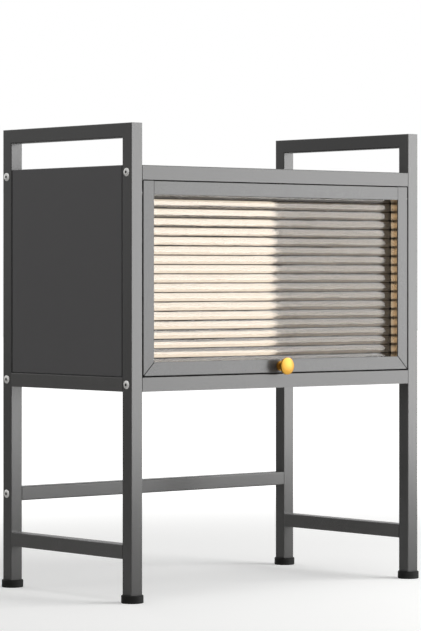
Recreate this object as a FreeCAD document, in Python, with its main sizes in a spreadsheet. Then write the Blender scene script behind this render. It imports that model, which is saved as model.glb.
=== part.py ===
"""Countertop appliance stand with a flip-up reeded door, as a parametric assembly.

Millimetres. X runs to the right, Y to the back, Z up. The origin is on the floor, in the
middle of the whole, from the knob's tip to the rear feet. Two welded side frames of square
tube are bolted to two folded shelf trays and a rear stretcher. A framed clear door hangs
between the front legs.
"""
import FreeCAD, Part
import math
import os

import Sketcher

DOC = FreeCAD.newDocument("ApplianceStand")
SHEET = DOC.addObject("Spreadsheet::Sheet", "Sizes")
PARTS = []
LEFT, RIGHT = -1, 1
FRONT, REAR = -1, 1


# ---------------------------------------------------------------- sizes that follow the sheet

class Size:
    """A length: its number now, and the sheet expression that keeps it up to date."""

    def __init__(self, number, text):
        self.number = number
        self.text = text

    def __add__(self, other):
        return combined(self, "+", other, lambda a, b: a + b)

    def __radd__(self, other):
        return combined(other, "+", self, lambda a, b: a + b)

    def __sub__(self, other):
        return combined(self, "-", other, lambda a, b: a - b)

    def __rsub__(self, other):
        return combined(other, "-", self, lambda a, b: a - b)

    def __mul__(self, other):
        return combined(self, "*", other, lambda a, b: a * b)

    def __rmul__(self, other):
        return combined(other, "*", self, lambda a, b: a * b)

    def __truediv__(self, other):
        return combined(self, "/", other, lambda a, b: a / b)

    def __neg__(self):
        return 0 - self


def as_size(value):
    """A plain number becomes a size of its own."""
    if isinstance(value, Size):
        return value
    return Size(value, "({!r})".format(value))


def combined(first, sign, second, work):
    first, second = as_size(first), as_size(second)
    text = "({} {} {})".format(first.text, sign, second.text)
    return Size(work(first.number, second.number), text)


def root(size):
    """Square root of a size."""
    return Size(math.sqrt(size.number), "sqrt({})".format(size.text))


def near(first, second):
    """Whether two plain measures agree to a thousandth."""
    return math.isclose(first, second, abs_tol=1e-3)


def sheet_size(row, alias, number):
    """Write one driving dimension into the sheet and return the size that reads it."""
    SHEET.set("A{}".format(row), alias.replace("_", " "))
    SHEET.set("B{}".format(row), str(number))
    SHEET.setAlias("B{}".format(row), alias)
    return Size(float(number), "Sizes." + alias)


# ---------------------------------------------------------------- driving dimensions
# Each number below becomes a cell of the sheet under its own name.

OTHER_NAMES = set(globals()) | {"OTHER_NAMES"}

# the whole stand
width = 544                 # over the legs, left to right
depth = 298                 # over the legs, front to back
height = 660                # floor to the top of the handle rails

# square tube of the side frames
tube = 20                   # side of the square tube
tube_wall = 1.2             # tube wall
tube_round = 1.5            # outer corner radius of the tube
lower_rail_base = 60        # floor to the underside of the lower rails
stretcher_base = 125        # floor to the underside of the rear stretcher

# folded shelf trays
handle_rise = 58            # top shelf's surface to the top of the handle rails
low_shelf_level = 310       # floor to the bottom shelf's surface
lip = 20                    # height of a tray's folded edge
lip_return = 12             # inward return under the front and back lips
shelf_sheet = 1.2           # sheet of the trays and stiffeners
fold_round = 1.2            # outer radius of the long folds
hat_width = 54              # stiffener over its flanges
hat_flange = 12             # welded flange of the stiffener
hat_depth = 12              # depth of the stiffener's channel
hat_end_gap = 2             # stiffener end to the tray's side

# side panels
panel_sheet = 1             # sheet of the side panels
panel_inset = 0.5           # panel face behind the legs' outer face
panel_tray_gap = 0.3        # panel flange to the tray's side
panel_reveal = 2            # shadow gap of a panel's face to each leg
panel_base_reveal = 1       # shadow gap of a panel's face to the middle rail
panel_joggle = 3            # how far in the flanges step out to meet them

# plastic feet
foot_across = 31            # diameter of the foot's pad
foot_height = 11            # height of the pad under the tube
foot_edge = 0.8             # bevel round the pad's edges
foot_plug = 18              # plug inside the tube
foot_plug_gap = 0.3         # plug to the tube's inner wall
foot_plug_wall = 2          # wall of the hollow plug

# frame bolts
bolt = 6                    # bolt shank
bolt_gap = 0.3              # shank to the wall of its hole, each side
bolt_head = 12              # button head
bolt_dome = 3.3             # height of the button head
bolt_socket = 4             # hexagon socket across flats
bolt_socket_depth = 2.2     # depth of the hexagon socket
bolt_past_nut = 3           # bolt end past its nut
nut_flats = 10              # nut across flats
nut_thick = 5               # nut height
thread_gap = 0.1            # shank to thread crest, each side
shelf_bolt_drop = 10        # shelf surface down to its bolts
plug_length = 26            # threaded plug in the stretcher's ends
plug_gap = 0.2              # plug to the tube's inner wall

# door frame
door_gap = 1.5              # running gap round the door
member = 19                 # face width of the door's frame
door_thick = 20             # depth of the door's frame
member_wall = 1.3           # wall of the door's hollow section
member_round = 0.6          # front edge radius of the section
recess = 14                 # door face back to the glazing groove
groove = 5.5                # depth of the glazing groove

# reeded panel
reed_pitch = 13             # spacing of the reeds
reed_round = 10             # radius of a reed's round face
reed_web = 1.8              # flat thickness behind the reeds
glazing_gap = 0.2           # panel to the groove's sides
glazing_end_gap = 0.5       # panel to the groove's floor

# corner fittings inside the door's frame
fitting_gap = 0.2           # fitting to the section's inner wall
key_arm = 42                # door corner to the end of a key's arm
block_drop = 36             # door top to the foot of the hinge block
block_reach = 46            # door side to the end of the block's tongue

# torque hinges
pivot_drop = 17             # door top down to the hinge axis
pivot_setback = 6           # door face back to the hinge axis
pin = 4                     # hinge pin
pin_inside = 14.5           # hinge pin inside the door
pin_flat = 0.7              # depth of the flat that keys the pin
pin_gap = 0.08              # pin to its friction sleeve, each side
pin_hole_gap = 0.5          # pin to the stile's hole, each side
sleeve = 7                  # friction sleeve
sleeve_length = 12          # friction sleeve
sleeve_gap = 0.1            # sleeve to its bore, each side
sleeve_slit = 0.8           # slit along the sleeve
bush_flange = 9             # flange diameter of the pin's bush
bush_flange_thick = 0.9     # bush flange
bush_barrel = 6.4           # barrel diameter of the bush
bush_length = 8             # bush inside the leg
bush_gap = 0.1              # bush to the leg's hole, each side

# knob and its screw
knob_head = 24              # knob over its head
knob_reach = 18             # door face to the top of the knob
knob_rim = 3                # straight rim of the head
knob_dome = 2               # rise of the head's face
knob_base = 14.5            # base flange
knob_base_thick = 2.4       # base flange
knob_neck = 9.6             # neck above the base flange
knob_flare = 9              # radius of the hollow flare
knob_bore_depth = 10        # threaded hole in the knob
screw = 4                   # knob screw shank
screw_head = 8              # knob screw head diameter
screw_dome = 2.6            # knob screw head height
screw_in_knob = 8           # knob screw inside the knob
screw_hole_gap = 0.2        # screw to the rail's hole, each side

# magnet catches
catch_inset = 62            # inner side of the leg to the middle of a catch
catch_width = 28            # catch body
catch_depth = 13            # catch body
catch_height = 12           # catch body
catch_ear = 9               # screw ear beside the catch body
catch_ear_thick = 3         # screw ear
catch_gap = 0.3             # magnet to the strike plate
magnet_width = 22           # magnet
magnet_depth = 8            # magnet
magnet_height = 7           # magnet
magnet_gap = 0.1            # magnet to its pocket
strike_thick = 0.8          # strike plate
strike_height = 12          # strike plate
tapper = 3                  # catch screw shank
tapper_length = 8           # catch screw under its head
tapper_head = 5.6           # catch screw head diameter
tapper_dome = 1.8           # catch screw head height
tapper_gap = 0.1            # catch screw to its holes, each side

for row, alias in enumerate([name for name in globals() if name not in OTHER_NAMES], 1):
    globals()[alias] = sheet_size(row, alias, globals()[alias])
DOC.recompute()

# sizes that several pieces share
leg_x = width / 2 - tube / 2
leg_y = depth / 2 - tube / 2
bay_half_width = width / 2 - tube
side_span = depth - 2 * tube
front_face = -depth / 2
top_shelf_level = height - handle_rise
door_half_width = bay_half_width - door_gap
door_top = top_shelf_level - lip - door_gap
door_base = low_shelf_level + door_gap
door_height = door_top - door_base
glass_half_width = door_half_width - member
reed_rise = reed_round - root(reed_round * reed_round - reed_pitch * reed_pitch / 4)
panel_thick = reed_web + reed_rise
groove_width = panel_thick + 2 * glazing_gap
groove_floor = member - groove
panel_grip = groove - glazing_end_gap
pivot_y = front_face + pivot_setback
pivot_z = door_top - pivot_drop
void_near = member_wall + fitting_gap
void_far = member - member_wall - fitting_gap
fitting_thick = recess - 2 * void_near
stretcher_axis = stretcher_base + tube / 2
foot_overhang = (foot_across - tube) / 2
frame_shift = (knob_reach - foot_overhang) / 2
catch_place = bay_half_width - catch_inset


# ---------------------------------------------------------------- modelling helpers

def bind(target, path, size):
    """Tie one property or placement value to the sheet."""
    target.setExpression(path, as_size(size).text)


def place(target, across, back, up):
    """Put a sub-part at its place, measured from the middle of the four legs."""
    for axis, size in zip("xyz", (across, back + frame_shift, up)):
        bind(target, "Placement.Base." + axis, size)


def new_body(label):
    """A body for one sub-part, which is exported under its label."""
    body = DOC.addObject("PartDesign::Body", label)
    body.Label = label
    PARTS.append(body)
    return body


def new_sketch(body, plane, offset=0):
    """A sketch on one of the body's own origin planes, moved along the plane's normal."""
    sketch = body.newObject("Sketcher::SketchObject", "Outline")
    support = [item for item in body.Origin.OriginFeatures if item.Role == plane][0]
    sketch.AttachmentSupport = [(support, "")]
    sketch.MapMode = "FlatFace"
    bind(sketch, "AttachmentOffset.Base.z", offset)
    return sketch


def dimension(sketch, constraint, size):
    """Add a driving constraint that follows the sheet."""
    index = sketch.addConstraint(constraint)
    bind(sketch, "Constraints[{}]".format(index), size)


def fix_point(sketch, geometry, point, across, up):
    """Dimension one point of the sketch from the sketch's origin."""
    for kind, size in (("DistanceX", as_size(across)), ("DistanceY", as_size(up))):
        constraint = Sketcher.Constraint(kind, -1, 1, geometry, point, size.number)
        dimension(sketch, constraint, size)


def side_curve(start, end, radius, hollow):
    """A straight side, or an arc that bulges to the right of its way, to the left if hollow."""
    if radius is None:
        return Part.LineSegment(start, end)
    chord = end - start
    half = chord.Length / 2
    rise = radius.number - math.sqrt(radius.number ** 2 - half ** 2)
    outward = FreeCAD.Vector(chord.y, -chord.x, 0).normalize()
    if hollow:
        outward = -outward
    return Part.Arc(start, (start + end) / 2 + outward * rise, end)


def outline(sketch, corners, arcs=None, hollows=()):
    """Close a loop through (across, up) corners, counterclockwise where it has round sides.

    arcs gives the radius of each round side by the number of its first corner, and hollows
    names those that bend inward.
    """
    arcs = arcs or {}
    count = len(corners)
    points = [FreeCAD.Vector(as_size(a).number, as_size(b).number, 0) for a, b in corners]
    ends = []
    for index, start in enumerate(points):
        end = points[(index + 1) % count]
        curve = side_curve(start, end, arcs.get(index), index in hollows)
        geometry = sketch.addGeometry(curve, False)
        forward = near((sketch.getPoint(geometry, 1) - start).Length, 0)
        ends.append((geometry, 1, 2) if forward else (geometry, 2, 1))
    for index, (geometry, first, last) in enumerate(ends):
        following, entry, _ = ends[(index + 1) % count]
        sketch.addConstraint(Sketcher.Constraint("Coincident", geometry, last, following, entry))
        fix_point(sketch, geometry, first, *corners[index])
        if index in arcs:
            constraint = Sketcher.Constraint("Radius", geometry, arcs[index].number)
            dimension(sketch, constraint, arcs[index])


def rectangle(sketch, across, up, wide, tall):
    """A rectangle about the point (across, up)."""
    left, right = across - wide / 2, across + wide / 2
    low, high = up - tall / 2, up + tall / 2
    outline(sketch, [(left, low), (right, low), (right, high), (left, high)])


def circle(sketch, across, up, diameter):
    """A circle about the point (across, up)."""
    middle = FreeCAD.Vector(as_size(across).number, as_size(up).number, 0)
    curve = Part.Circle(middle, FreeCAD.Vector(0, 0, 1), diameter.number / 2)
    geometry = sketch.addGeometry(curve, False)
    fix_point(sketch, geometry, 3, across, up)
    dimension(sketch, Sketcher.Constraint("Diameter", geometry, diameter.number), diameter)


def extrude(body, kind, sketch, length, reverse, symmetric):
    feature = body.newObject("PartDesign::" + kind, kind)
    feature.Profile = sketch
    feature.SideType = "Symmetric" if symmetric else "One side"
    feature.Reversed = reverse
    bind(feature, "Length", length)
    sketch.Visibility = False
    DOC.recompute()
    return feature


def pad(body, sketch, length, reverse=False, symmetric=False):
    """Add material along the sketch's normal, or against it when reversed."""
    return extrude(body, "Pad", sketch, length, reverse, symmetric)


def pocket(body, sketch, length, reverse=False, symmetric=False):
    """Cut against the sketch's normal, or along it when reversed, and prove that it cuts."""
    before = body.Shape.Volume
    feature = extrude(body, "Pocket", sketch, length, reverse, symmetric)
    if near(body.Shape.Volume, before):
        raise ValueError("a pocket in {} cuts nothing".format(body.Label))
    return feature


def revolve(body, sketch):
    """Turn a sketch on the XZ plane about the body's Z axis."""
    feature = body.newObject("PartDesign::Revolution", "Revolution")
    feature.Profile = sketch
    feature.ReferenceAxis = (sketch, ["V_Axis"])
    feature.Angle = 360
    sketch.Visibility = False
    DOC.recompute()
    return feature


def soften(body, base, radius, chosen, kind="Fillet"):
    """Round or bevel the edges of the base feature that the test picks."""
    names = ["Edge{}".format(number + 1)
             for number, edge in enumerate(base.Shape.Edges) if chosen(edge)]
    feature = body.newObject("PartDesign::" + kind, kind)
    feature.Base = (base, names)
    bind(feature, "Radius" if kind == "Fillet" else "Size", radius)
    DOC.recompute()
    return feature


def runs_along(edge, axis):
    """Whether a straight edge is parallel to the X, Y or Z axis."""
    if len(edge.Vertexes) != 2:
        return False
    run = edge.Vertexes[1].Point - edge.Vertexes[0].Point
    return near(abs(getattr(run, axis)), run.Length)


def lies_at(edge, axis, size):
    """Whether the middle of an edge is level with a size along one axis."""
    return near(getattr(edge.CenterOfMass, axis), as_size(size).number)


def group(label, master, places):
    """Several separate copies of one fastener, kept together as one sub-part."""
    links = []
    for across, back, up, turn in places:
        link = DOC.addObject("App::Link", label + "_copy")
        link.LinkedObject = master
        link.Placement = FreeCAD.Placement(FreeCAD.Vector(), turn)
        place(link, across, back, up)
        links.append(link)
    compound = DOC.addObject("Part::Compound", label)
    compound.Label = label
    compound.Links = links
    PARTS.append(compound)
    return compound


def turned(axis, angle):
    return FreeCAD.Rotation(FreeCAD.Vector(*axis), angle)


# ---------------------------------------------------------------- side frames

def hollow_tube(body, plane, length, symmetric=False):
    """Square tube with rounded outer corners, along the normal of the given plane."""
    along = {"XY_Plane": "z", "XZ_Plane": "y", "YZ_Plane": "x"}[plane]
    outer = new_sketch(body, plane)
    rectangle(outer, 0, 0, tube, tube)
    solid = pad(body, outer, length, symmetric=symmetric)
    soften(body, solid, tube_round, lambda edge: runs_along(edge, along))
    inner = new_sketch(body, plane)
    rectangle(inner, 0, 0, tube - 2 * tube_wall, tube - 2 * tube_wall)
    pocket(body, inner, 2 * length, symmetric=True)


def leg(label, side, end):
    """Upright tube with a mitred top, bolt holes and, at the front, the hinge bush's hole."""
    body = new_body(label)
    length = height - foot_height
    hollow_tube(body, "XY_Plane", length)

    mitre = new_sketch(body, "YZ_Plane")
    outer, inner = end * tube / 2, -end * tube / 2
    outline(mitre, [(outer, length), (inner, length - tube),
                    (inner - end * tube, length - tube), (inner - end * tube, length + tube),
                    (outer, length + tube)])
    pocket(body, mitre, 2 * tube, symmetric=True)

    holes = new_sketch(body, "YZ_Plane")
    levels = [top_shelf_level - shelf_bolt_drop, low_shelf_level - shelf_bolt_drop]
    if end == REAR:
        levels.append(stretcher_axis)
    for level in levels:
        circle(holes, 0, level - foot_height, bolt + 2 * bolt_gap)
    pocket(body, holes, 2 * tube, symmetric=True)

    if end == FRONT:
        socket = new_sketch(body, "YZ_Plane")
        circle(socket, pivot_y + leg_y, pivot_z - foot_height, bush_barrel + 2 * bush_gap)
        pocket(body, socket, tube, reverse=(side == LEFT))
    place(body, side * leg_x, end * leg_y, foot_height)


def side_rail(label, side, base):
    """Horizontal tube between the front and rear leg."""
    body = new_body(label)
    hollow_tube(body, "XZ_Plane", side_span, symmetric=True)
    place(body, side * leg_x, 0, base + tube / 2)


def handle_rail(label, side):
    """Top tube of a side frame, mitred onto both legs."""
    body = new_body(label)
    hollow_tube(body, "XZ_Plane", depth, symmetric=True)
    for end in (FRONT, REAR):
        mitre = new_sketch(body, "YZ_Plane")
        tip = end * depth / 2
        foot = end * (depth / 2 - tube)
        outline(mitre, [(tip, tube / 2), (foot, -tube / 2), (foot, -tube),
                        (tip + end * tube, -tube), (tip + end * tube, tube / 2)])
        pocket(body, mitre, 2 * tube, symmetric=True)
    place(body, side * leg_x, 0, height - tube / 2)


def side_panel(label, side):
    """Folded pan from the middle rail up to the top shelf, its flanges joggled out to the legs."""
    body = new_body(label)
    tall = top_shelf_level - low_shelf_level
    reach = tube - panel_inset - panel_tray_gap
    face_width = side_span - 2 * panel_reveal
    face = new_sketch(body, "YZ_Plane")
    rectangle(face, 0, (tall + panel_base_reveal) / 2, face_width, tall - panel_base_reveal)
    front = pad(body, face, panel_joggle, reverse=(side == RIGHT))
    soften(body, front, fold_round, lambda edge: lies_at(edge, "x", 0))
    flanges = new_sketch(body, "YZ_Plane", -side * panel_joggle)
    rectangle(flanges, 0, tall / 2, side_span, tall)
    pad(body, flanges, reach - panel_joggle, reverse=(side == RIGHT))

    hollow = new_sketch(body, "YZ_Plane", -side * panel_sheet)
    rectangle(hollow, 0, (tall + panel_base_reveal) / 2,
              face_width - 2 * panel_sheet, tall - panel_base_reveal - 2 * panel_sheet)
    pocket(body, hollow, reach, reverse=(side == LEFT))
    wide_hollow = new_sketch(body, "YZ_Plane", -side * (panel_joggle + panel_sheet))
    rectangle(wide_hollow, 0, tall / 2, side_span - 2 * panel_sheet, tall - 2 * panel_sheet)
    pocket(body, wide_hollow, reach, reverse=(side == LEFT))
    place(body, side * (width / 2 - panel_inset), 0, low_shelf_level)


def foot(label, side, end):
    """Plastic foot: a round pad under the leg and a hollow plug inside it."""
    body = new_body(label)
    base = new_sketch(body, "XY_Plane")
    circle(base, 0, 0, foot_across)
    disc = pad(body, base, foot_height)
    soften(body, disc, foot_edge,
           lambda edge: lies_at(edge, "z", 0) or lies_at(edge, "z", foot_height), "Chamfer")
    plug_side = tube - 2 * tube_wall - 2 * foot_plug_gap
    plug = new_sketch(body, "XY_Plane", foot_height)
    rectangle(plug, 0, 0, plug_side, plug_side)
    pad(body, plug, foot_plug)
    hollow = new_sketch(body, "XY_Plane", foot_height + foot_plug)
    rectangle(hollow, 0, 0, plug_side - 2 * foot_plug_wall, plug_side - 2 * foot_plug_wall)
    pocket(body, hollow, foot_plug)
    place(body, side * leg_x, end * leg_y, 0)


def side_frame(name, side):
    """Every welded piece of one side, and its feet."""
    leg(name + "_front_leg", side, FRONT)
    leg(name + "_rear_leg", side, REAR)
    handle_rail(name + "_handle_rail", side)
    side_rail(name + "_middle_rail", side, low_shelf_level - tube)
    side_rail(name + "_lower_rail", side, lower_rail_base)
    side_panel(name + "_side_panel", side)
    foot(name + "_front_foot", side, FRONT)
    foot(name + "_rear_foot", side, REAR)


# ---------------------------------------------------------------- shelves and stretcher

def shelf_tray(label, level, catches):
    """Sheet folded down on four sides, with a return under its front and back lips."""
    body = new_body(label)
    face = new_sketch(body, "XY_Plane")
    rectangle(face, 0, 0, 2 * bay_half_width, depth)
    solid = pad(body, face, lip, reverse=True)
    soften(body, solid, fold_round, lambda edge: runs_along(edge, "x") and lies_at(edge, "z", 0))

    opening = new_sketch(body, "XY_Plane", -lip)
    inside_width = 2 * (bay_half_width - shelf_sheet)
    rectangle(opening, 0, 0, inside_width, depth - 2 * lip_return)
    pocket(body, opening, lip - shelf_sheet, reverse=True)
    cavity = new_sketch(body, "XY_Plane", shelf_sheet - lip)
    rectangle(cavity, 0, 0, inside_width, depth - 2 * shelf_sheet)
    pocket(body, cavity, lip - 2 * shelf_sheet, reverse=True)

    holes = new_sketch(body, "YZ_Plane")
    for end in (FRONT, REAR):
        circle(holes, end * leg_y, -shelf_bolt_drop, bolt + 2 * bolt_gap)
    pocket(body, holes, width, symmetric=True)

    if catches:
        pilots = new_sketch(body, "XY_Plane")
        for across, back in catch_screw_places():
            circle(pilots, across, back, tapper + 2 * tapper_gap)
        pocket(body, pilots, 2 * shelf_sheet)
    place(body, 0, 0, level)


def stiffener(label, level):
    """Hat channel welded under a tray, from side to side."""
    body = new_body(label)
    out, crown = hat_width / 2, hat_width / 2 - hat_flange
    sheet = shelf_sheet
    section = new_sketch(body, "YZ_Plane")
    outline(section, [
        (-out, 0), (-out, -sheet), (-crown, -sheet), (-crown, -hat_depth), (crown, -hat_depth),
        (crown, -sheet), (out, -sheet), (out, 0), (crown - sheet, 0),
        (crown - sheet, sheet - hat_depth), (sheet - crown, sheet - hat_depth), (sheet - crown, 0)])
    pad(body, section, 2 * (bay_half_width - shelf_sheet - hat_end_gap), symmetric=True)
    place(body, 0, 0, level - shelf_sheet)


def rear_stretcher():
    """Tube between the rear legs, with a threaded plug in each end."""
    body = new_body("rear_stretcher")
    hollow_tube(body, "YZ_Plane", 2 * bay_half_width, symmetric=True)
    place(body, 0, leg_y, stretcher_axis)
    side_length = tube - 2 * tube_wall - 2 * plug_gap
    for name, side in (("left", LEFT), ("right", RIGHT)):
        plug = new_body(name + "_stretcher_plug")
        block = new_sketch(plug, "YZ_Plane")
        rectangle(block, 0, 0, side_length, side_length)
        pad(plug, block, plug_length, reverse=(side == RIGHT))
        thread = new_sketch(plug, "YZ_Plane")
        circle(thread, 0, 0, bolt + 2 * thread_gap)
        pocket(plug, thread, 3 * plug_length, symmetric=True)
        place(plug, side * bay_half_width, leg_y, stretcher_axis)


# ---------------------------------------------------------------- frame fasteners

def frame_fasteners():
    """Button-head bolts through the legs, and the weld nuts inside the trays."""
    grip = tube + shelf_sheet + nut_thick + bolt_past_nut
    bolt_body = DOC.addObject("PartDesign::Body", "bolt_master")
    section = new_sketch(bolt_body, "XZ_Plane")
    dome_round = (bolt_head * bolt_head / 4 + bolt_dome * bolt_dome) / (2 * bolt_dome)
    outline(section, [(0, -grip), (bolt / 2, -grip), (bolt / 2, 0), (bolt_head / 2, 0),
                      (0, bolt_dome)], arcs={3: dome_round})
    revolve(bolt_body, section)
    socket = new_sketch(bolt_body, "XY_Plane", bolt_dome)
    outline(socket, hexagon(bolt_socket))
    pocket(bolt_body, socket, bolt_socket_depth)

    nut_body = DOC.addObject("PartDesign::Body", "nut_master")
    face = new_sketch(nut_body, "XY_Plane")
    outline(face, hexagon(nut_flats))
    circle(face, 0, 0, bolt + 2 * thread_gap)
    pad(nut_body, face, nut_thick, reverse=True)

    facing = {LEFT: turned((0, 1, 0), -90), RIGHT: turned((0, 1, 0), 90)}
    corners = [(side, end) for side in (LEFT, RIGHT) for end in (FRONT, REAR)]
    for name, level in (("top", top_shelf_level), ("bottom", low_shelf_level)):
        axis = level - shelf_bolt_drop
        group(name + "_shelf_bolts", bolt_body,
              [(side * width / 2, end * leg_y, axis, facing[side]) for side, end in corners])
        group(name + "_shelf_nuts", nut_body,
              [(side * (bay_half_width - shelf_sheet), end * leg_y, axis, facing[side])
               for side, end in corners])
    group("stretcher_bolts", bolt_body,
          [(side * width / 2, leg_y, stretcher_axis, facing[side]) for side in (LEFT, RIGHT)])


def hexagon(flats):
    """Corners of a hexagon, flat side down, from its size across flats."""
    half, side = flats / 2, flats / (2 * root(as_size(3)))
    return [(-side, -half), (side, -half), (2 * side, 0), (side, half), (-side, half), (-2 * side, 0)]


# ---------------------------------------------------------------- door frame

def member_section(sketch, put):
    """Hollow section with a glazing groove: put maps (inward, backward) to the sketch."""
    back_lip = recess + groove_width
    outer = [(0, 0), (member, 0), (member, recess), (groove_floor, recess),
             (groove_floor, back_lip), (member, back_lip), (member, door_thick), (0, door_thick)]
    wall = member_wall
    inner = [(wall, wall), (member - wall, wall), (member - wall, recess - wall),
             (groove_floor - wall, recess - wall), (groove_floor - wall, door_thick - wall),
             (wall, door_thick - wall)]
    for loop in (outer, inner):
        outline(sketch, [put(inward, backward) for inward, backward in loop])


def stile(label, side):
    """Upright of the door's frame: mitred foot, open top, holes for the hinge."""
    body = new_body(label)
    inward = -side
    section = new_sketch(body, "XY_Plane")
    member_section(section, lambda across, back: (inward * across, back))
    solid = pad(body, section, door_height)
    soften(body, solid, member_round, lambda edge: runs_along(edge, "z") and lies_at(edge, "y", 0))

    mitre = new_sketch(body, "XZ_Plane")
    outline(mitre, [(0, 0), (0, -member), (2 * inward * member, -member),
                    (2 * inward * member, 2 * member)])
    pocket(body, mitre, 3 * door_thick, symmetric=True)

    window = new_sketch(body, "YZ_Plane", inward * member)
    rectangle(window, recess / 2, door_height - member / 2,
              recess - 2 * member_wall, member - 2 * member_wall)
    pocket(body, window, member_wall, reverse=(side == RIGHT))

    hole = new_sketch(body, "YZ_Plane")
    circle(hole, pivot_setback, door_height - pivot_drop, pin + 2 * pin_hole_gap)
    pocket(body, hole, member / 2, reverse=(side == LEFT))
    place(body, side * door_half_width, front_face, door_base)


def door_top_rail():
    """Rail that butts between the stiles."""
    body = new_body("door_top_rail")
    section = new_sketch(body, "YZ_Plane")
    member_section(section, lambda down, back: (back, -down))
    solid = pad(body, section, 2 * glass_half_width, symmetric=True)
    soften(body, solid, member_round, lambda edge: runs_along(edge, "x") and lies_at(edge, "y", 0))
    place(body, 0, front_face, door_top)


def door_bottom_rail():
    """Rail with mitred ends and the knob screw's holes."""
    body = new_body("door_bottom_rail")
    section = new_sketch(body, "YZ_Plane")
    member_section(section, lambda up, back: (back, up))
    solid = pad(body, section, 2 * door_half_width, symmetric=True)
    soften(body, solid, member_round, lambda edge: runs_along(edge, "x") and lies_at(edge, "y", 0))
    for side in (LEFT, RIGHT):
        mitre = new_sketch(body, "XZ_Plane")
        corner, beyond = side * door_half_width, side * (door_half_width + member)
        outline(mitre, [(corner, 0), (beyond, 0), (beyond, 2 * member),
                        (side * (door_half_width - 2 * member), 2 * member)])
        pocket(body, mitre, 3 * door_thick, symmetric=True)
    hole = new_sketch(body, "XZ_Plane")
    circle(hole, 0, member / 2, screw + 2 * screw_hole_gap)
    pocket(body, hole, 3 * door_thick, symmetric=True)
    place(body, 0, front_face, door_base)


def corner_key(label, side):
    """Angle inside a mitred corner that draws stile and rail together."""
    body = new_body(label)
    near, far = -side * void_near, -side * void_far
    arm = -side * key_arm
    shape = new_sketch(body, "XZ_Plane", -void_near)
    outline(shape, [(near, void_near), (arm, void_near), (arm, void_far), (far, void_far),
                    (far, key_arm), (near, key_arm)])
    pad(body, shape, fitting_thick, reverse=True)
    place(body, side * door_half_width, front_face, door_base)


def hinge_block(label, side):
    """Angle in a top corner: its tongue holds the top rail, its bore the friction sleeve."""
    body = new_body(label)
    near, far = -side * void_near, -side * void_far
    reach = -side * block_reach
    shape = new_sketch(body, "XZ_Plane", -void_near)
    outline(shape, [(near, -block_drop), (far, -block_drop), (far, -void_far), (reach, -void_far),
                    (reach, -void_near), (near, -void_near)])
    pad(body, shape, fitting_thick, reverse=True)
    bore = new_sketch(body, "YZ_Plane")
    circle(bore, pivot_setback, -pivot_drop, sleeve + 2 * sleeve_gap)
    pocket(body, bore, pin_inside + fitting_gap, reverse=(side == LEFT))
    place(body, side * door_half_width, front_face, door_top)


def reeded_panel():
    """Clear sheet whose front is a row of round horizontal reeds."""
    body = new_body("reeded_panel")
    wide = 2 * (glass_half_width + panel_grip)
    tall = door_height - 2 * member + 2 * panel_grip
    count = 2 * math.ceil(tall.number / reed_pitch.number / 2) + 1
    web = new_sketch(body, "XY_Plane")
    rectangle(web, 0, reed_rise + reed_web / 2, wide, reed_web)
    pad(body, web, tall, symmetric=True)

    reed = new_sketch(body, "YZ_Plane")
    low, high = -count * reed_pitch / 2, reed_pitch - count * reed_pitch / 2
    outline(reed, [(reed_rise, high), (reed_rise, low), (reed_rise + reed_web / 2, low),
                   (reed_rise + reed_web / 2, high)], arcs={0: reed_round})
    first = pad(body, reed, wide, symmetric=True)
    row = body.newObject("PartDesign::LinearPattern", "Reeds")
    row.Originals = [first]
    row.Direction = (reed, ["V_Axis"])
    row.Occurrences = count
    bind(row, "Length", (count - 1) * reed_pitch)
    body.Tip = row
    DOC.recompute()

    for end in (-1, 1):
        waste = new_sketch(body, "YZ_Plane")
        rectangle(waste, panel_thick / 2, end * (tall / 2 + reed_pitch), 2 * panel_thick,
                  2 * reed_pitch)
        pocket(body, waste, 2 * wide, symmetric=True)
    place(body, 0, front_face + recess + glazing_gap, (door_top + door_base) / 2)


# ---------------------------------------------------------------- torque hinges

def torque_hinge(name, side):
    """Keyed pin held by a bush in the leg, and the sleeve that grips it in the door."""
    bush = new_body(name + "_hinge_bush")
    for diameter, length, outward in ((bush_flange, bush_flange_thick, False),
                                      (bush_barrel, bush_length, True)):
        disc = new_sketch(bush, "YZ_Plane")
        circle(disc, 0, 0, diameter)
        pad(bush, disc, length, reverse=((side == LEFT) == outward))
    key_hole = new_sketch(bush, "YZ_Plane")
    outline(key_hole, *keyed_circle(pin / 2 + pin_gap, pin / 2 - pin_flat + pin_gap))
    pocket(bush, key_hole, 3 * bush_length, symmetric=True)
    place(bush, side * bay_half_width, pivot_y, pivot_z)

    pin_body = new_body(name + "_hinge_pin")
    core = new_sketch(pin_body, "YZ_Plane")
    circle(core, 0, 0, pin)
    pad(pin_body, core, pin_inside + door_gap, reverse=(side == RIGHT))
    tail = new_sketch(pin_body, "YZ_Plane")
    outline(tail, *keyed_circle(pin / 2, pin / 2 - pin_flat))
    pad(pin_body, tail, bush_length, reverse=(side == LEFT))
    core_flat = new_sketch(pin_body, "YZ_Plane")
    rectangle(core_flat, 0, pin - pin_flat, 2 * pin, pin)
    pocket(pin_body, core_flat, bush_flange_thick, reverse=(side == LEFT))
    place(pin_body, side * bay_half_width, pivot_y, pivot_z)

    grip = new_body(name + "_hinge_sleeve")
    ring = new_sketch(grip, "YZ_Plane")
    circle(ring, 0, 0, sleeve)
    circle(ring, 0, 0, pin + 2 * pin_gap)
    pad(grip, ring, sleeve_length, reverse=(side == RIGHT))
    slit = new_sketch(grip, "YZ_Plane")
    rectangle(slit, 0, -sleeve / 2, sleeve_slit, sleeve)
    pocket(grip, slit, 3 * sleeve_length, symmetric=True)
    place(grip, side * (door_half_width - void_near - fitting_gap), pivot_y, pivot_z)


def keyed_circle(radius, flat):
    """Round outline with one flat on top, for outline(): its corners and its arcs."""
    half = root(radius * radius - flat * flat)
    corners = [(half, flat), (-half, flat), (0, -radius)]
    return corners, {1: radius, 2: radius}


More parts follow.
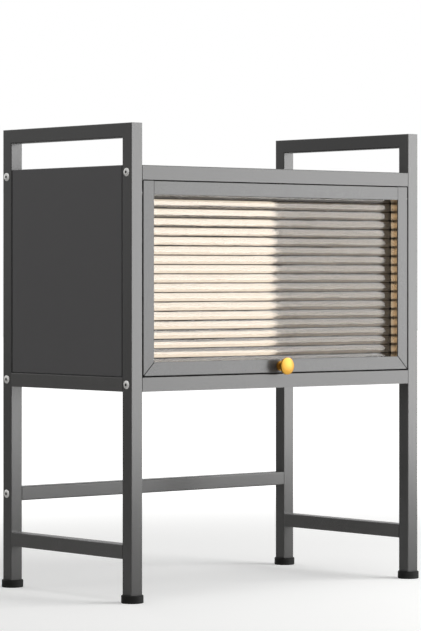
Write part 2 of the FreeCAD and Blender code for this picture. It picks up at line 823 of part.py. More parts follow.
# ---------------------------------------------------------------- knob and catches

def knob():
    """Turned knob: base flange, hollow flare and a slightly domed head."""
    body = new_body("knob")
    shoulder = knob_reach - knob_dome - knob_rim
    profile = new_sketch(body, "XZ_Plane")
    dome_round = (knob_head * knob_head / 4 + knob_dome * knob_dome) / (2 * knob_dome)
    outline(profile, [
        (0, 0), (knob_base / 2, 0), (knob_base / 2, knob_base_thick), (knob_neck / 2, knob_base_thick),
        (knob_head / 2, shoulder), (knob_head / 2, shoulder + knob_rim), (0, knob_reach)],
        arcs={3: knob_flare, 5: dome_round}, hollows=(3,))
    revolve(body, profile)
    thread = new_sketch(body, "XY_Plane")
    circle(thread, 0, 0, screw + 2 * thread_gap)
    pocket(body, thread, knob_bore_depth, reverse=True)
    body.Placement = FreeCAD.Placement(FreeCAD.Vector(), turned((1, 0, 0), 90))
    place(body, 0, front_face, door_base + member / 2)


def pan_screw(name, shank, length, head, dome):
    """Pan-head screw along -Z, with its head above the XY plane."""
    body = DOC.addObject("PartDesign::Body", name)
    section = new_sketch(body, "XZ_Plane")
    dome_round = (head * head / 4 + dome * dome) / (2 * dome)
    outline(section, [(0, -length), (shank / 2, -length), (shank / 2, 0), (head / 2, 0), (0, dome)],
            arcs={3: dome_round})
    revolve(body, section)
    return body


def knob_screw():
    """Screw from the back of the bottom rail into the knob."""
    body = pan_screw("knob_screw", screw, door_thick + screw_in_knob, screw_head, screw_dome)
    PARTS.append(body)
    body.Placement = FreeCAD.Placement(FreeCAD.Vector(), turned((1, 0, 0), -90))
    place(body, 0, front_face + door_thick, door_base + member / 2)


def catch_screw_places():
    """Plan positions of the catch screws, two for each catch."""
    back = catch_front() + catch_depth / 2
    beside = catch_width / 2 + catch_ear / 2
    return [(side * catch_place + ear * beside, back) for side in (LEFT, RIGHT) for ear in (-1, 1)]


def catch_front():
    """Front plane of the magnet catches."""
    return front_face + door_thick + strike_thick + catch_gap


def magnet_catches():
    """Magnets in screwed-down housings, and the strike plates on the door."""
    for name, side in (("left", LEFT), ("right", RIGHT)):
        housing = new_body(name + "_catch_housing")
        ears = new_sketch(housing, "XY_Plane")
        rectangle(ears, 0, catch_depth / 2, catch_width + 2 * catch_ear, catch_depth)
        pad(housing, ears, catch_ear_thick)
        block = new_sketch(housing, "XY_Plane")
        rectangle(block, 0, catch_depth / 2, catch_width, catch_depth)
        pad(housing, block, catch_height)
        cell = new_sketch(housing, "XZ_Plane")
        rectangle(cell, 0, catch_height / 2, magnet_width + 2 * magnet_gap,
                  magnet_height + 2 * magnet_gap)
        pocket(housing, cell, magnet_depth)
        holes = new_sketch(housing, "XY_Plane")
        for ear in (-1, 1):
            circle(holes, ear * (catch_width + catch_ear) / 2, catch_depth / 2, tapper + 2 * tapper_gap)
        pocket(housing, holes, 3 * catch_ear_thick, symmetric=True)
        place(housing, side * catch_place, catch_front(), low_shelf_level)

        magnet = new_body(name + "_catch_magnet")
        bar = new_sketch(magnet, "XZ_Plane")
        rectangle(bar, 0, catch_height / 2, magnet_width, magnet_height)
        pad(magnet, bar, magnet_depth, reverse=True)
        place(magnet, side * catch_place, catch_front(), low_shelf_level)

        strike = new_body(name + "_strike_plate")
        plate = new_sketch(strike, "XZ_Plane")
        rectangle(plate, 0, member / 2, catch_width, strike_height)
        pad(strike, plate, strike_thick, reverse=True)
        place(strike, side * catch_place, front_face + door_thick, door_base)

    master = pan_screw("catch_screw_master", tapper, tapper_length, tapper_head, tapper_dome)
    upright = FreeCAD.Rotation()
    group("catch_screws", master,
          [(across, back, low_shelf_level + catch_ear_thick, upright)
           for across, back in catch_screw_places()])


# ---------------------------------------------------------------- assembly

def build():
    for name, side in (("left", LEFT), ("right", RIGHT)):
        side_frame(name, side)
    shelf_tray("top_shelf", top_shelf_level, catches=False)
    shelf_tray("bottom_shelf", low_shelf_level, catches=True)
    stiffener("top_shelf_stiffener", top_shelf_level)
    stiffener("bottom_shelf_stiffener", low_shelf_level)
    rear_stretcher()
    frame_fasteners()
    for name, side in (("left", LEFT), ("right", RIGHT)):
        stile("door_{}_stile".format(name), side)
        corner_key(name + "_corner_key", side)
        hinge_block(name + "_hinge_block", side)
        torque_hinge(name, side)
    door_top_rail()
    door_bottom_rail()
    reeded_panel()
    knob()
    knob_screw()
    magnet_catches()


def check_and_export():
    """Write each sub-part only when every object of the document is sound."""
    DOC.recompute()
    for item in DOC.Objects:
        if {"Invalid", "Error"} & set(item.State):
            raise ValueError("{} did not recompute".format(item.Label))
    for part in PARTS:
        if part.Shape.isNull() or not part.Shape.isValid() or near(part.Shape.Volume, 0):
            raise ValueError("{} has no sound shape".format(part.Label))
    os.makedirs("parts", exist_ok=True)
    for part in PARTS:
        part.Shape.exportStep("parts/{}.step".format(part.Label))
        print("{:28s} {:2d} solid {:10.0f} mm3".format(
            part.Label, len(part.Shape.Solids), part.Shape.Volume))


build()
check_and_export()
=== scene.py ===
"""A countertop appliance stand with a flip-up reeded door, dressed and lit for its picture.

Metres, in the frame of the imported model: X to the right, Y to the back, Z up from the
floor. Sections follow the stand as it is put together, then the studio round it.
"""

import math

import bpy
import numpy as np
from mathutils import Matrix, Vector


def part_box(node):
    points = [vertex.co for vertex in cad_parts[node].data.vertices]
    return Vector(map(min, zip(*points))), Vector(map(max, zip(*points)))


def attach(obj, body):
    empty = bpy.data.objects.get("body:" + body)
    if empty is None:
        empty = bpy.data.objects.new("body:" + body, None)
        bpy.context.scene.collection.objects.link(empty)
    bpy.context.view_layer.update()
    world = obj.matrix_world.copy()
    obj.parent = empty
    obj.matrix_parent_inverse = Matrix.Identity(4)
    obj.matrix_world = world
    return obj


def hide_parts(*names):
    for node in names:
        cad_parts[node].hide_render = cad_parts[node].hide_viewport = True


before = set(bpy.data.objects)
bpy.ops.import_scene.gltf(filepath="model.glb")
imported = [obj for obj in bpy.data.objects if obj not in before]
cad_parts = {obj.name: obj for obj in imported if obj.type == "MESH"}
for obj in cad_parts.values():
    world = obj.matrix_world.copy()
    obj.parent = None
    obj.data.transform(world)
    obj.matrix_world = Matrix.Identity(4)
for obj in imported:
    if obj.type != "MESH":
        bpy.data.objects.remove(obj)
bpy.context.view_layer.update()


# ------------------------------------------------------------------ side frames
# Two ladders of square steel tube, mitred and welded at the corners, ground flush and
# powder coated in satin dark grey, as the stretcher between them is. The rails that lie
# below the panels get a paler copy of the coat, painted lighter for how light falls on them.

class Wire:
    """A value in a material's nodes, on which arithmetic adds the Math nodes for it."""

    def __init__(self, finish, socket):
        self.finish = finish
        self.socket = socket

    def __add__(self, other):
        return self.finish.sum("ADD", self, other)

    def __radd__(self, other):
        return self.finish.sum("ADD", other, self)

    def __sub__(self, other):
        return self.finish.sum("SUBTRACT", self, other)

    def __rsub__(self, other):
        return self.finish.sum("SUBTRACT", other, self)

    def __mul__(self, other):
        return self.finish.sum("MULTIPLY", self, other)

    def __rmul__(self, other):
        return self.finish.sum("MULTIPLY", other, self)

    def __truediv__(self, other):
        return self.finish.sum("DIVIDE", self, other)

    def __rtruediv__(self, other):
        return self.finish.sum("DIVIDE", other, self)

    def __mod__(self, other):
        return self.finish.sum("FLOORED_MODULO", self, other)

    def __pow__(self, other):
        return self.finish.sum("POWER", self, other)

    def __abs__(self):
        return self.finish.sum("ABSOLUTE", self)

    def above(self, limit, width):
        """0 below the limit, 1 past it, over a smooth step of the given width."""
        return self.finish.node(
            "MapRange", {"interpolation_type": "SMOOTHSTEP"},
            {"Value": self, "From Min": limit - width / 2, "From Max": limit + width / 2},
        )


class Finish:
    """A new material, or a new world, while its nodes are laid."""

    def __init__(self, name, kind="materials"):
        self.block = getattr(bpy.data, kind).new(name)
        self.block.use_nodes = True
        self.tree = self.block.node_tree
        self.tree.nodes.clear()

    def node(self, kind, settings=None, inputs=None, output=None):
        """Add a node: its settings first, then the value or wire of each socket by name."""
        made = self.tree.nodes.new("ShaderNode" + kind)
        for name, value in (settings or {}).items():
            setattr(made, name, value)
        for name, value in (inputs or {}).items():
            socket = self.pick(made.inputs, name)
            if isinstance(value, Wire):
                self.tree.links.new(value.socket, socket)
            else:
                socket.default_value = value
        return Wire(self, self.pick(made.outputs, output)) if len(made.outputs) else made

    @staticmethod
    def pick(sockets, name):
        """The live socket of that name, by its number if the name is one, or the first."""
        if isinstance(name, int):
            return sockets[name]
        return next(s for s in sockets if s.enabled and name in (None, s.name))

    def sum(self, operation, *values):
        """One Math node on the given values."""
        return self.node("Math", {"operation": operation}, dict(enumerate(values)))

    def blend(self, factor, first, second):
        """One colour from two, by the factor."""
        return self.node("Mix", {"data_type": "RGBA"}, {
            "Factor": factor, "A": tint(first), "B": tint(second)})

    def place(self):
        """Where the point is, in the frame's metres."""
        return self.node("TexCoord", output="Object")

    def part(self, vector, axis):
        """The vector's part along X, Y or Z."""
        return self.node("SeparateXYZ", {}, {"Vector": vector}, axis)

    def noise(self, place, scale, detail=2.0, stretch=None):
        """Noise from 0 to 1 with the given number of swells to the metre."""
        if stretch:
            place = self.node("Mapping", {}, {"Vector": place, "Scale": stretch})
        return self.node(
            "TexNoise", {}, {"Vector": place, "Scale": scale, "Detail": detail}, "Fac")

    def close(self, shader, output="OutputMaterial"):
        """End the nodes with the shader and return the material or the world."""
        self.node(output, {}, {"Surface": shader})
        return self.block


def tint(colour):
    """A plain colour gets its alpha; a wire stays as it is."""
    return colour if isinstance(colour, Wire) else (*colour, 1)


def rounding(finish):
    """How far the face turns from the nearest square direction: 0 on flats, 0.3 on corners."""
    facing = finish.node("TexCoord", output="Normal")
    sides = finish.node("VectorMath", {"operation": "ABSOLUTE"}, {0: facing})
    parts = [finish.part(sides, axis) for axis in "XYZ"]
    return 1 - finish.sum("MAXIMUM", finish.sum("MAXIMUM", parts[0], parts[1]), parts[2])


def powder_coat(name, tone, roughness, ior=1.5, matt=0.0, seam_shade=None):
    """Satin powder coat: cloudy tone, fine orange peel, thinner on the corners, which are also
    painted paler as a painted highlight.

    Level faces are rougher by the matt value, as things slide on them. The seam shade, if
    given, lays out a seam's open line, painted near black as shade: it is 1 on the line and 0
    elsewhere.
    """
    coat = Finish(name)
    place = coat.place()
    cloud = coat.noise(place, 7, 3)
    peel = coat.noise(place, 520)
    grit = coat.noise(place, 2400, 1)
    # The corners' coat is thinner and shinier, and is also painted paler as a painted highlight
    # along the edges.
    corner = rounding(coat).above(0.1, 0.16)
    shade = coat.blend(cloud, [0.9 * t for t in tone], [1.1 * t for t in tone])
    shade = coat.blend(0.16 * grit, shade, [1.9 * t for t in tone])
    shade = coat.blend(0.35 * corner, shade, [1.8 * t for t in tone])
    relief = coat.node(
        "Bump", {}, {"Height": 0.7 * peel + 0.3 * grit, "Strength": 0.12, "Distance": 0.0001})
    dull = roughness + 0.06 * (cloud - 0.5) + 0.05 * (grit - 0.5) - 0.05 * corner
    if matt:
        level = abs(coat.part(coat.node("TexCoord", output="Normal"), "Z"))
        dull = dull + matt * level.above(0.9, 0.1)
    shader = coat.node("BsdfPrincipled", {}, {
        "Base Color": shade, "Normal": relief, "IOR": ior, "Roughness": dull})
    # Painted shade: a seam's open line gets a near-black matt shader in place of the shade in a
    # gap.
    if seam_shade:
        depth = coat.node("BsdfDiffuse", {}, {"Color": (0.003, 0.003, 0.003, 1)})
        shader = coat.node(
            "MixShader", {}, {"Fac": seam_shade(coat, place), 1: shader, 2: depth})
    return coat.close(shader)


def dress(material, *names):
    """Give the material to the named CAD pieces."""
    for name in names:
        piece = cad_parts[name]
        for place in piece.material_slots:
            place.material = material


SIDES = ("left", "right")
frame_coat = powder_coat("satin_grey_powder_coat", (0.060, 0.059, 0.058), 0.23, ior=1.55)
dress(frame_coat, "rear_stretcher", *[
    side + "_" + piece for side in SIDES for piece in ("front_leg", "rear_leg", "handle_rail")])
# Painted light: the rails take a paler copy of the frame's coat.
rail_coat_painted_paler = powder_coat("rail_powder_coat_painted_paler", (0.092, 0.090, 0.088), 0.26)
dress(rail_coat_painted_paler, *[
    side + "_" + piece for side in SIDES for piece in ("middle_rail", "lower_rail")])


# ------------------------------------------------------------------ side panels
# Folded steel sheet pans, held between the legs by their turned edges. They get a paler,
# cooler copy of the same coat, painted lighter for how light falls on the wide flat sheet.

# Painted light: the panels take a paler copy of the frame's coat.
panel_coat_painted_paler = powder_coat("side_panel_powder_coat_painted_paler", (0.088, 0.086, 0.088), 0.34)
dress(panel_coat_painted_paler, "left_side_panel", "right_side_panel")


# ------------------------------------------------------------------ feet
# Black moulded plastic plugs, pushed into the tubes' lower ends. The mould's fine spark
# eroded skin leaves them matt.

def moulded(name, tone, roughness, skin):
    """Moulded plastic: an even tone with a fine matt skin, scuffed a little at the edges."""
    plastic = Finish(name)
    place = plastic.place()
    cloud = plastic.noise(place, 60, 3)
    pits = plastic.noise(place, skin, 1)
    edge = rounding(plastic).above(0.08, 0.12)
    shade = plastic.blend(cloud, [0.85 * t for t in tone], [1.15 * t for t in tone])
    shade = plastic.blend(0.3 * edge, shade, [2.2 * t for t in tone])
    relief = plastic.node("Bump", {}, {"Height": pits, "Strength": 0.25, "Distance": 0.00008})
    shader = plastic.node("BsdfPrincipled", {}, {
        "Base Color": shade, "Normal": relief, "IOR": 1.3,
        "Roughness": roughness + 0.1 * (pits - 0.5) + 0.08 * (cloud - 0.5),
    })
    return plastic.close(shader)


foot_black = moulded("foot_black_plastic", (0.009, 0.009, 0.0085), 0.62, 1900)
dress(foot_black, *[side + "_" + end + "_foot" for side in SIDES for end in ("front", "rear")])


# ------------------------------------------------------------------ shelf trays
# Two folded steel trays, each with a welded stiffener below, bolted between the frames.
# They have the frame's coat, more matt on the level faces, where things stand and slide.

tray_coat = powder_coat("tray_powder_coat", (0.060, 0.059, 0.058), 0.24, matt=0.3)
dress(tray_coat, "top_shelf", "bottom_shelf", "top_shelf_stiffener",
      "bottom_shelf_stiffener")


# ------------------------------------------------------------------ bolts and nuts
# Nickel plated steel bolts with low button heads, whose hexagon sockets are painted dark
# inside as shade. They pass through the legs into zinc plated weld nuts in the trays and
# threaded plugs in the stretcher.

HEAD_ACROSS, HEAD_RISE = 0.012, 0.0018
HEAD_BRIM = 0.0004          # straight edge under the head's round
HEAD_FLAT = 0.0066          # flat of the head round the socket, across
SHANK_ACROSS, SHANK_LENGTH = 0.006, 0.0292
SHANK_BEVEL = 0.0005
SOCKET_FLATS, SOCKET_DEPTH = 0.004, 0.0014
SOCKET_BEVEL = 0.00015
ROUND_STEPS = 48            # round a bolt
OVER_STEPS = 8              # over the edge of its head


def solid(name, points, faces):
    """A new mesh object of the points and faces, smooth but for its sharp edges."""
    mesh = bpy.data.meshes.new(name)
    mesh.from_pydata(points, [], faces)
    mesh.polygons.foreach_set("use_smooth", [True] * len(faces))
    mesh.set_sharp_from_angle(angle=math.radians(32))
    piece = bpy.data.objects.new(name, mesh)
    bpy.context.scene.collection.objects.link(piece)
    return piece


def swept(name, *skins):
    """Closed skins through rings of points, each ring clockwise seen from the last one.

    A face joins two neighbours on a ring to the same two on the next ring, and the first
    and the last ring are each filled by one face.
    """
    faces, first = [], 0
    for rings in skins:
        rows, count = rings.shape[:2]
        index = first + np.arange(rows * count).reshape(rows, count)
        ahead = np.roll(index, -1, 1)
        sides = np.stack([ahead[:-1], index[:-1], index[1:], ahead[1:]], -1)
        faces += sides.reshape(-1, 4).tolist()
        faces += [index[0].tolist(), index[-1, ::-1].tolist()]
        first += rows * count
    return solid(name, np.concatenate([r.reshape(-1, 3) for r in skins]).tolist(), faces)


def bolt_rings(face, back, up):
    """Rings from a bolt's tip out to its socket's floor, about an axis along X.

    The head's edge goes over as a quarter of an ellipse, out with the cosine and up with
    the sine. The socket's rings follow a hexagon: half its flats over the cosine of the
    angle from the nearest flat.
    """
    turn = np.linspace(0, 2 * math.pi, ROUND_STEPS, endpoint=False)
    corner = math.pi / 3
    hexagon = SOCKET_FLATS / 2 / np.cos((turn + corner / 2) % corner - corner / 2)
    over = np.linspace(0, math.pi / 2, OVER_STEPS)
    edge, flat = HEAD_ACROSS / 2, HEAD_FLAT / 2
    rings = [(-SHANK_LENGTH, SHANK_ACROSS / 2 - SHANK_BEVEL),
             (SHANK_BEVEL - SHANK_LENGTH, SHANK_ACROSS / 2), (0, SHANK_ACROSS / 2), (0, edge)]
    rings += zip(HEAD_BRIM + (HEAD_RISE - HEAD_BRIM) * np.sin(over),
                 flat + (edge - flat) * np.cos(over))
    rings += [(HEAD_RISE, hexagon + SOCKET_BEVEL), (HEAD_RISE - SOCKET_BEVEL, hexagon),
              (HEAD_RISE - SOCKET_DEPTH, hexagon)]
    along = np.array([ring[0] for ring in rings])[:, None] + 0 * turn
    reach = np.stack([ring[1] + 0 * turn for ring in rings])
    out = math.copysign(1, face)
    return np.stack([face + out * along, back + reach * np.cos(turn),
                     up - out * reach * np.sin(turn)], -1)


def plated(name, tone, roughness, turns, lacquer=0.0, socket_shade=None):
    """Metal with faint tool marks, a slightly dulled, uneven shine and a clear lacquer.

    The socket shade, if given, is 1 where the metal is painted near black as shade, 0
    elsewhere.
    """
    metal = Finish(name)
    place = metal.place()
    marks = metal.noise(place, turns)
    dull = metal.noise(place, 90, 3)
    edge = rounding(metal).above(0.1, 0.1)
    shade = metal.blend(dull, [0.82 * t for t in tone], tone)
    shade = metal.blend(0.25 * edge, shade, [min(1, 1.15 * t) for t in tone])
    # Painted shade: the sockets' metal is painted near black.
    if socket_shade:
        shade = metal.blend(0.85 * socket_shade(metal, place), shade, (0.02, 0.02, 0.02))
    relief = metal.node("Bump", {}, {"Height": marks, "Strength": 0.12, "Distance": 0.00004})
    shader = metal.node("BsdfPrincipled", {}, {
        "Base Color": shade, "Metallic": 1.0, "Normal": relief,
        "Roughness": roughness + 0.12 * (marks - 0.5) + 0.1 * dull,
        "Coat Weight": lacquer, "Coat Roughness": 0.3,
    })
    return metal.close(shader)


def in_sockets(face, backs, level):
    """The mask of the painted shade in the bolts' sockets: near an axis and deeper than the
    socket's bevel.

    The way from an axis is the root of the squared ways back and up, for the nearer bolt.
    """
    reach = 0.6 * SOCKET_FLATS                      # just past the hexagon's corners
    mouth = face + HEAD_RISE - 2 * SOCKET_BEVEL     # just inside the bevel

    def inside(metal, place):
        x, y, z = (metal.part(place, axis) for axis in "XYZ")
        off_axis = metal.sum("MINIMUM", abs(y - min(backs)), abs(y - max(backs)))
        away = (off_axis * off_axis + (z - level) * (z - level)) ** 0.5
        return (1 - away.above(reach, 0.0001)) * (1 - abs(x).above(mouth, 0.0001))

    return inside


leg_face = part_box("right_front_leg")[1].x
leg_backs = [sum(corner.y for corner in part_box("left_" + leg)) / 2
             for leg in ("front_leg", "rear_leg")]
for node, backs in (("top_shelf_bolts", leg_backs), ("bottom_shelf_bolts", leg_backs),
                    ("stretcher_bolts", leg_backs[1:])):
    level = sum(corner.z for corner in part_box(node)) / 2
    bolts = swept("nickel_" + node, *[
        bolt_rings(face, back, level) for face in (-leg_face, leg_face) for back in backs])
    bolts.data.materials.append(plated(
        "nickel_plated_" + node, (0.92, 0.91, 0.89), 0.22, 1500,
        socket_shade=in_sockets(leg_face, backs, level)))
    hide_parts(node)
    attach(bolts, "stand")
zinc = plated("zinc_plated_steel", (0.55, 0.56, 0.56), 0.32, 900)
dress(zinc, "top_shelf_nuts", "bottom_shelf_nuts", "left_stretcher_plug",
      "right_stretcher_plug")


# ------------------------------------------------------------------ door frame
# A hollow aluminium section in the same grey coat. Its bottom corners are mitred on hidden
# keys, and its top rail butts between the stiles on moulded blocks that take the hinges.

# Half widths of the seams' lines of painted shade.
MITRE_SEAM = 0.0009         # half of its width, read upwards
BUTT_SEAM = 0.0003          # half of its width


def seam_shade_lines(coat, place):
    """1 on the bottom rail's mitres, as far in from the side as up from below, and on the
    upright lines where the top rail butts the stiles: the seam lines painted near black as
    shade."""
    x, z = coat.part(place, "X"), coat.part(place, "Z")
    low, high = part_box("door_bottom_rail")
    inward, upward = high.x - abs(x), z - low.z
    mitre = 1 - abs(inward - upward).above(MITRE_SEAM, 0.0004)
    mitre = mitre * (1 - z.above(high.z, 0.0002))
    low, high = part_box("door_top_rail")
    butt = 1 - abs(abs(x) - high.x).above(BUTT_SEAM, 0.0002)
    return coat.sum("MAXIMUM", mitre, butt * z.above(low.z, 0.0002))


door_coat = powder_coat("door_powder_coat", (0.058, 0.0575, 0.057), 0.27, seam_shade=seam_shade_lines)
dress(door_coat, "door_left_stile", "door_right_stile", "door_top_rail", "door_bottom_rail")
fitting_black = moulded("black_moulded_fitting", (0.022, 0.022, 0.022), 0.55, 1400)
dress(fitting_black, *[side + "_" + part for side in SIDES
                       for part in ("corner_key", "hinge_block")])


# ------------------------------------------------------------------ reeded sheet
# One clear, faintly warm plastic sheet, drawn with round level reeds on its front and a
# flat back, and held in the groove of the door's frame.

REED_PITCH = 0.013
REED_RADIUS = 0.0135        # of a reed's round front
REED_STEPS = 12             # over one reed
# The dark line in each valley is painted shade.
VALLEY_SHADE_START = 0.435              # where the dark line starts, in pitches from the crest


def off_crest(height):
    """How far a height is from a reed's crest, in pitches: 0 on it and 0.5 in a valley.

    The middle reed's crest is half way up the panel.
    """
    middle = sum(corner.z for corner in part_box("reeded_panel")) / 2
    return abs(((height - middle) / REED_PITCH + 0.5) % 1 - 0.5)


def sheet_rings():
    """The sheet's outline at each end: up the reeds and down the flat back.

    A reed falls back from its crest by the radius less the root of the radius squared
    less the way from the crest squared.
    """
    low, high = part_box("reeded_panel")
    step = REED_PITCH / REED_STEPS
    reach = math.ceil((high.z - low.z) / 2 / step)
    up = np.clip((low.z + high.z) / 2 + step * np.arange(-reach, reach + 1), low.z, high.z)
    fall = REED_RADIUS - np.sqrt(REED_RADIUS ** 2 - (REED_PITCH * off_crest(up)) ** 2)
    up = np.append(up, (high.z, low.z))
    deep = np.append(low.y + fall, (high.y, high.y))
    return np.stack([np.stack([np.full_like(up, x), deep, up], -1) for x in (low.x, high.x)])


def reeded_clear(name):
    """Clear plastic with a thin dark line painted in each valley as the shade the reeds'
    refraction throws there, and the faint waviness along the reeds that drawing the sheet
    leaves."""
    clear = Finish(name)
    place = clear.place()
    # Painted shade: a near-black line in each valley, where the reeds' refraction turns dark.
    valley = off_crest(clear.part(place, "Z")).above(VALLEY_SHADE_START, 0.04)
    wave = clear.noise(place, 40, 3, stretch=(0.25, 1, 8))
    shade = clear.blend(wave, (0.60, 0.515, 0.42), (0.57, 0.485, 0.39))
    shade = clear.blend(0.97 * valley, shade, (0.012, 0.008, 0.005))
    relief = clear.node("Bump", {}, {"Height": wave, "Strength": 0.5, "Distance": 0.0006})
    shader = clear.node("BsdfPrincipled", {}, {
        "Base Color": shade, "Normal": relief, "Roughness": 0.02 * wave, "IOR": 1.46,
        "Transmission Weight": 0.94,
    })
    return clear.close(shader)


sheet = swept("reeded_sheet", sheet_rings())
sheet.data.materials.append(reeded_clear("reeded_clear_sheet"))
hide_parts("reeded_panel")
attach(sheet, "door")


# ------------------------------------------------------------------ reed end strips
# Thin strips of amber coloured metal, glued down both stiles from the sheet to just behind
# the door's face. They trim the open ends of the reeds and are notched to them.

TRIM_THICK = 0.0008
TRIM_SETBACK = 0.0015       # from the door's face
NOTCH_DEPTH = 0.6           # of the trim's thickness
STEPS_PER_REED = 10


def trim_rings(inner):
    """Rings up the stile's inner face: an oblong with a blunt front, whose thickness dips
    to a notch at each valley, as the square of the way from the reed's crest."""
    low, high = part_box("door_bottom_rail")[1].z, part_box("door_top_rail")[0].z
    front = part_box("door_right_stile")[0].y + TRIM_SETBACK
    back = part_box("reeded_panel")[0].y
    steps = round((high - low) / REED_PITCH * STEPS_PER_REED)
    up = np.linspace(low, high, steps + 1)
    thick = TRIM_THICK * (1 - NOTCH_DEPTH * (2 * off_crest(up)) ** 2)
    share = np.array([0, 1, 1, 0.5, 0])
    deep = np.array([back, back, front + TRIM_THICK / 2, front, front + TRIM_THICK / 2])
    inward = -math.copysign(1, inner)
    across = inner + inward * thick[:, None] * share
    rings = np.stack([across, np.broadcast_to(deep, across.shape),
                      np.broadcast_to(up[:, None], across.shape)], -1)
    return rings if inward > 0 else rings[:, ::-1]


def amber_trim(name):
    """Amber metal, satin, with painted light: paler by the sheet, paler bands on the crests as
    a painted reflection of the reeds, and painted shade in the notches.
    """
    amber = Finish(name)
    place = amber.place()
    depth = amber.part(place, "Y")
    # Painted shade in the notches, and with it paler bands on the crests as a painted
    # reflection of the reeds.
    notch = off_crest(amber.part(place, "Z")).above(0.38, 0.2)
    cloud = amber.noise(place, 70, 3)
    shade = amber.blend(cloud, (0.80, 0.67, 0.49), (0.90, 0.81, 0.66))
    # Painted light: paler by the sheet, where light comes through it, darker towards the door's
    # face.
    shade = amber.blend(depth.above(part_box("reeded_panel")[0].y - 0.005, 0.014),
                        (0.62, 0.44, 0.25), shade)
    shade = amber.blend(0.7 * notch, shade, (0.07, 0.045, 0.03))
    relief = amber.node("Bump", {}, {"Height": cloud, "Strength": 0.1, "Distance": 0.0003})
    shader = amber.node("BsdfPrincipled", {}, {
        "Base Color": shade, "Normal": relief, "IOR": 1.5, "Metallic": 0.7,
        "Roughness": 0.18 + 0.2 * cloud,
    })
    return amber.close(shader)


amber = amber_trim("amber_reed_trim")
for side, inner in (("left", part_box("door_left_stile")[1].x),
                    ("right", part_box("door_right_stile")[0].x)):
    trim = swept(side + "_reed_trim", trim_rings(inner))
    trim.data.materials.append(amber)
    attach(trim, "door")


# ------------------------------------------------------------------ torque hinges
# On each side a keyed steel pin in a flanged bush in the leg turns in a slit steel sleeve
# in the door's block, whose friction holds the door at any angle. All are zinc plated.

dress(zinc, *[side + "_hinge_" + part for side in SIDES for part in ("bush", "pin", "sleeve")])


# ------------------------------------------------------------------ knob
# Turned brass with a base flange, polished and lacquered. A zinc plated pan head screw
# through the bottom rail holds it.

brass = plated("polished_brass", (0.50, 0.26, 0.024), 0.44, 2600, lacquer=0.5)
dress(brass, "knob")
dress(zinc, "knob_screw")


# ------------------------------------------------------------------ magnet catches
# Black moulded housings with a nickel plated block magnet, each screwed down on the bottom
# shelf, and zinc plated steel strike plates on the back of the door.

dress(fitting_black, "left_catch_housing", "right_catch_housing")
dress(plated("nickel_plated_magnet", (0.36, 0.36, 0.37), 0.3, 700),
      "left_catch_magnet", "right_catch_magnet")
dress(zinc, "left_strike_plate", "right_strike_plate", "catch_screws")


# ------------------------------------------------------------------ buffer strips
# Soft black rubber of D section, stuck on the bottom shelf right behind the door's bottom
# rail, in three lengths with the catches between them.

STRIP_WIDTH, STRIP_HEIGHT = 0.006, 0.0034
STRIP_ROOM = 0.0007     # from the rail's back and from a catch
STRIP_STEPS = 16        # round the D


def buffer_rings(start, end):
    """A D at each end: y goes back with the cosine, z rises from the shelf with the sine."""
    rail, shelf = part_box("door_bottom_rail")[1].y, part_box("bottom_shelf")[1].z
    turns = np.linspace(0, math.pi, STRIP_STEPS)
    back = rail + STRIP_ROOM + STRIP_WIDTH / 2 * (1 - np.cos(turns))
    up = shelf + STRIP_HEIGHT * np.sin(turns)
    return np.stack([np.stack([np.full_like(up, x), back, up], -1) for x in (start, end)])


rubber = moulded("black_buffer_rubber", (0.012, 0.012, 0.012), 0.7, 1200)
near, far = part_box("right_catch_housing")
bay_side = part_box("door_bottom_rail")[1].x
for name, start, end in (("left_buffer_strip", -bay_side, -far.x - STRIP_ROOM),
                         ("middle_buffer_strip", STRIP_ROOM - near.x, near.x - STRIP_ROOM),
                         ("right_buffer_strip", far.x + STRIP_ROOM, bay_side)):
    strip = swept(name, buffer_rings(start, end))
    strip.data.materials.append(rubber)
    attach(strip, "stand")


# ------------------------------------------------------------------ studio
# A pale seamless floor, a plain pale surround, one large soft lamp at the front right, soft
# ones overhead and behind, and a long-lensed camera at the height of the door.

FLOOR_REACH = 14.0
across, back = np.meshgrid((-FLOOR_REACH, FLOOR_REACH), (-FLOOR_REACH, FLOOR_REACH))
corners = np.stack([across, back, 0 * across], -1).reshape(-1, 3)
floor = solid("studio_floor", corners.tolist(), [(0, 1, 3, 2)])


def seen(finish):
    """1 where the camera sees the surface, straight or through glass."""
    return finish.sum("MAXIMUM", finish.node("LightPath", output="Is Camera Ray"),
                      finish.node("LightPath", output="Is Transmission Ray"))


FLOOR_NEAR, FLOOR_FAR = 0.3, 1.0        # how far the floor is lifted to white
FLOOR_TURN, FLOOR_BLUR = 1.5, 1.8       # where it changes, from the stand's middle
ground = Finish("pale_studio_floor")
grain = ground.noise(ground.place(), 3, 3)
paper = ground.node("BsdfDiffuse", {}, {
    "Color": ground.blend(grain, (0.80, 0.80, 0.79), (0.83, 0.83, 0.82))})
away = ground.node("VectorMath", {"operation": "LENGTH"}, {0: ground.place()}, "Value")
rise = FLOOR_NEAR + (FLOOR_FAR - FLOOR_NEAR) * away.above(FLOOR_TURN, FLOOR_BLUR)
lift = ground.node("Emission", {}, {"Color": (1, 1, 1, 1), "Strength": rise * seen(ground)})
floor.data.materials.append(
    ground.close(ground.node("AddShader", {}, {0: paper, 1: lift})))

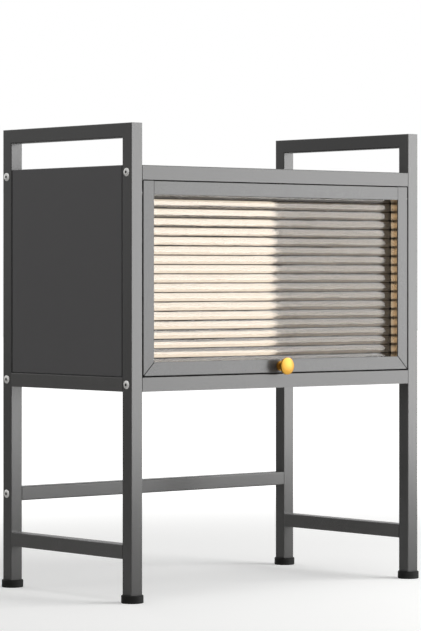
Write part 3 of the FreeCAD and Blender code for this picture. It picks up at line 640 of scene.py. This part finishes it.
SKY_LIGHT = 0.25            # on the stand; the camera sees 1, which is white
SKY_MIRRORED = 0.65         # in glossy surfaces
surround = Finish("pale_surround", "worlds")
mirrored = surround.node("LightPath", output="Is Glossy Ray")
sky = surround.node("Background", {}, {
    "Color": (1, 1, 1, 1),
    "Strength": SKY_LIGHT + (1 - SKY_LIGHT) * seen(surround)
    + (SKY_MIRRORED - SKY_LIGHT) * mirrored,
})
bpy.context.scene.world = surround.close(sky, "OutputWorld")


def soft_lamp(name, place, aim, size, level):
    """A square area lamp whose surface shines at the given level, where 1 is white."""
    lamp = bpy.data.lights.new(name, "AREA")
    lamp.shape = "SQUARE"
    lamp.size = size
    lamp.energy = level * math.pi * size ** 2
    stand = bpy.data.objects.new(name, lamp)
    bpy.context.scene.collection.objects.link(stand)
    way = np.array(aim) - np.array(place)
    stand.visible_camera = False
    stand.location = place
    stand.rotation_euler = (
        math.acos(-way[2] / np.linalg.norm(way)), 0, math.atan2(way[1], way[0]) - math.pi / 2)


soft_lamp("front_lamp", place=(1.06, -1.30, 0.80), aim=(0.06, -0.15, 0.78), size=1.5, level=5.4)
soft_lamp("top_lamp", place=(-0.3, -0.4, 2.6), aim=(0, 0, 0.3), size=1.4, level=1.5)
soft_lamp("back_lamp", place=(0.1, 2.1, 1.1), aim=(0, 0, 0.4), size=1.3, level=1.5)

LONG_SIDE = 631             # of the picture, in pixels
FOCAL_LENGTH = 2989.59      # in pixels
SENSOR = 36.0               # millimetres
CAMERA_PLACE = (-2.8210, -3.34865, 0.4514)
CAMERA_TURN = math.radians(40.059)
CAMERA_SHIFT = (-0.00423, -0.06496)     # across and up, in long sides of the picture
eye = bpy.data.cameras.new("picture_camera")
eye.sensor_width = SENSOR
eye.lens = FOCAL_LENGTH / LONG_SIDE * SENSOR
eye.shift_x, eye.shift_y = CAMERA_SHIFT
eye.clip_end = 100
camera = bpy.data.objects.new("picture_camera", eye)
camera.location = CAMERA_PLACE
camera.rotation_euler = (math.radians(90), 0, -CAMERA_TURN)
bpy.context.scene.collection.objects.link(camera)
bpy.context.scene.camera = camera
bpy.context.scene.view_settings.view_transform = "Standard"
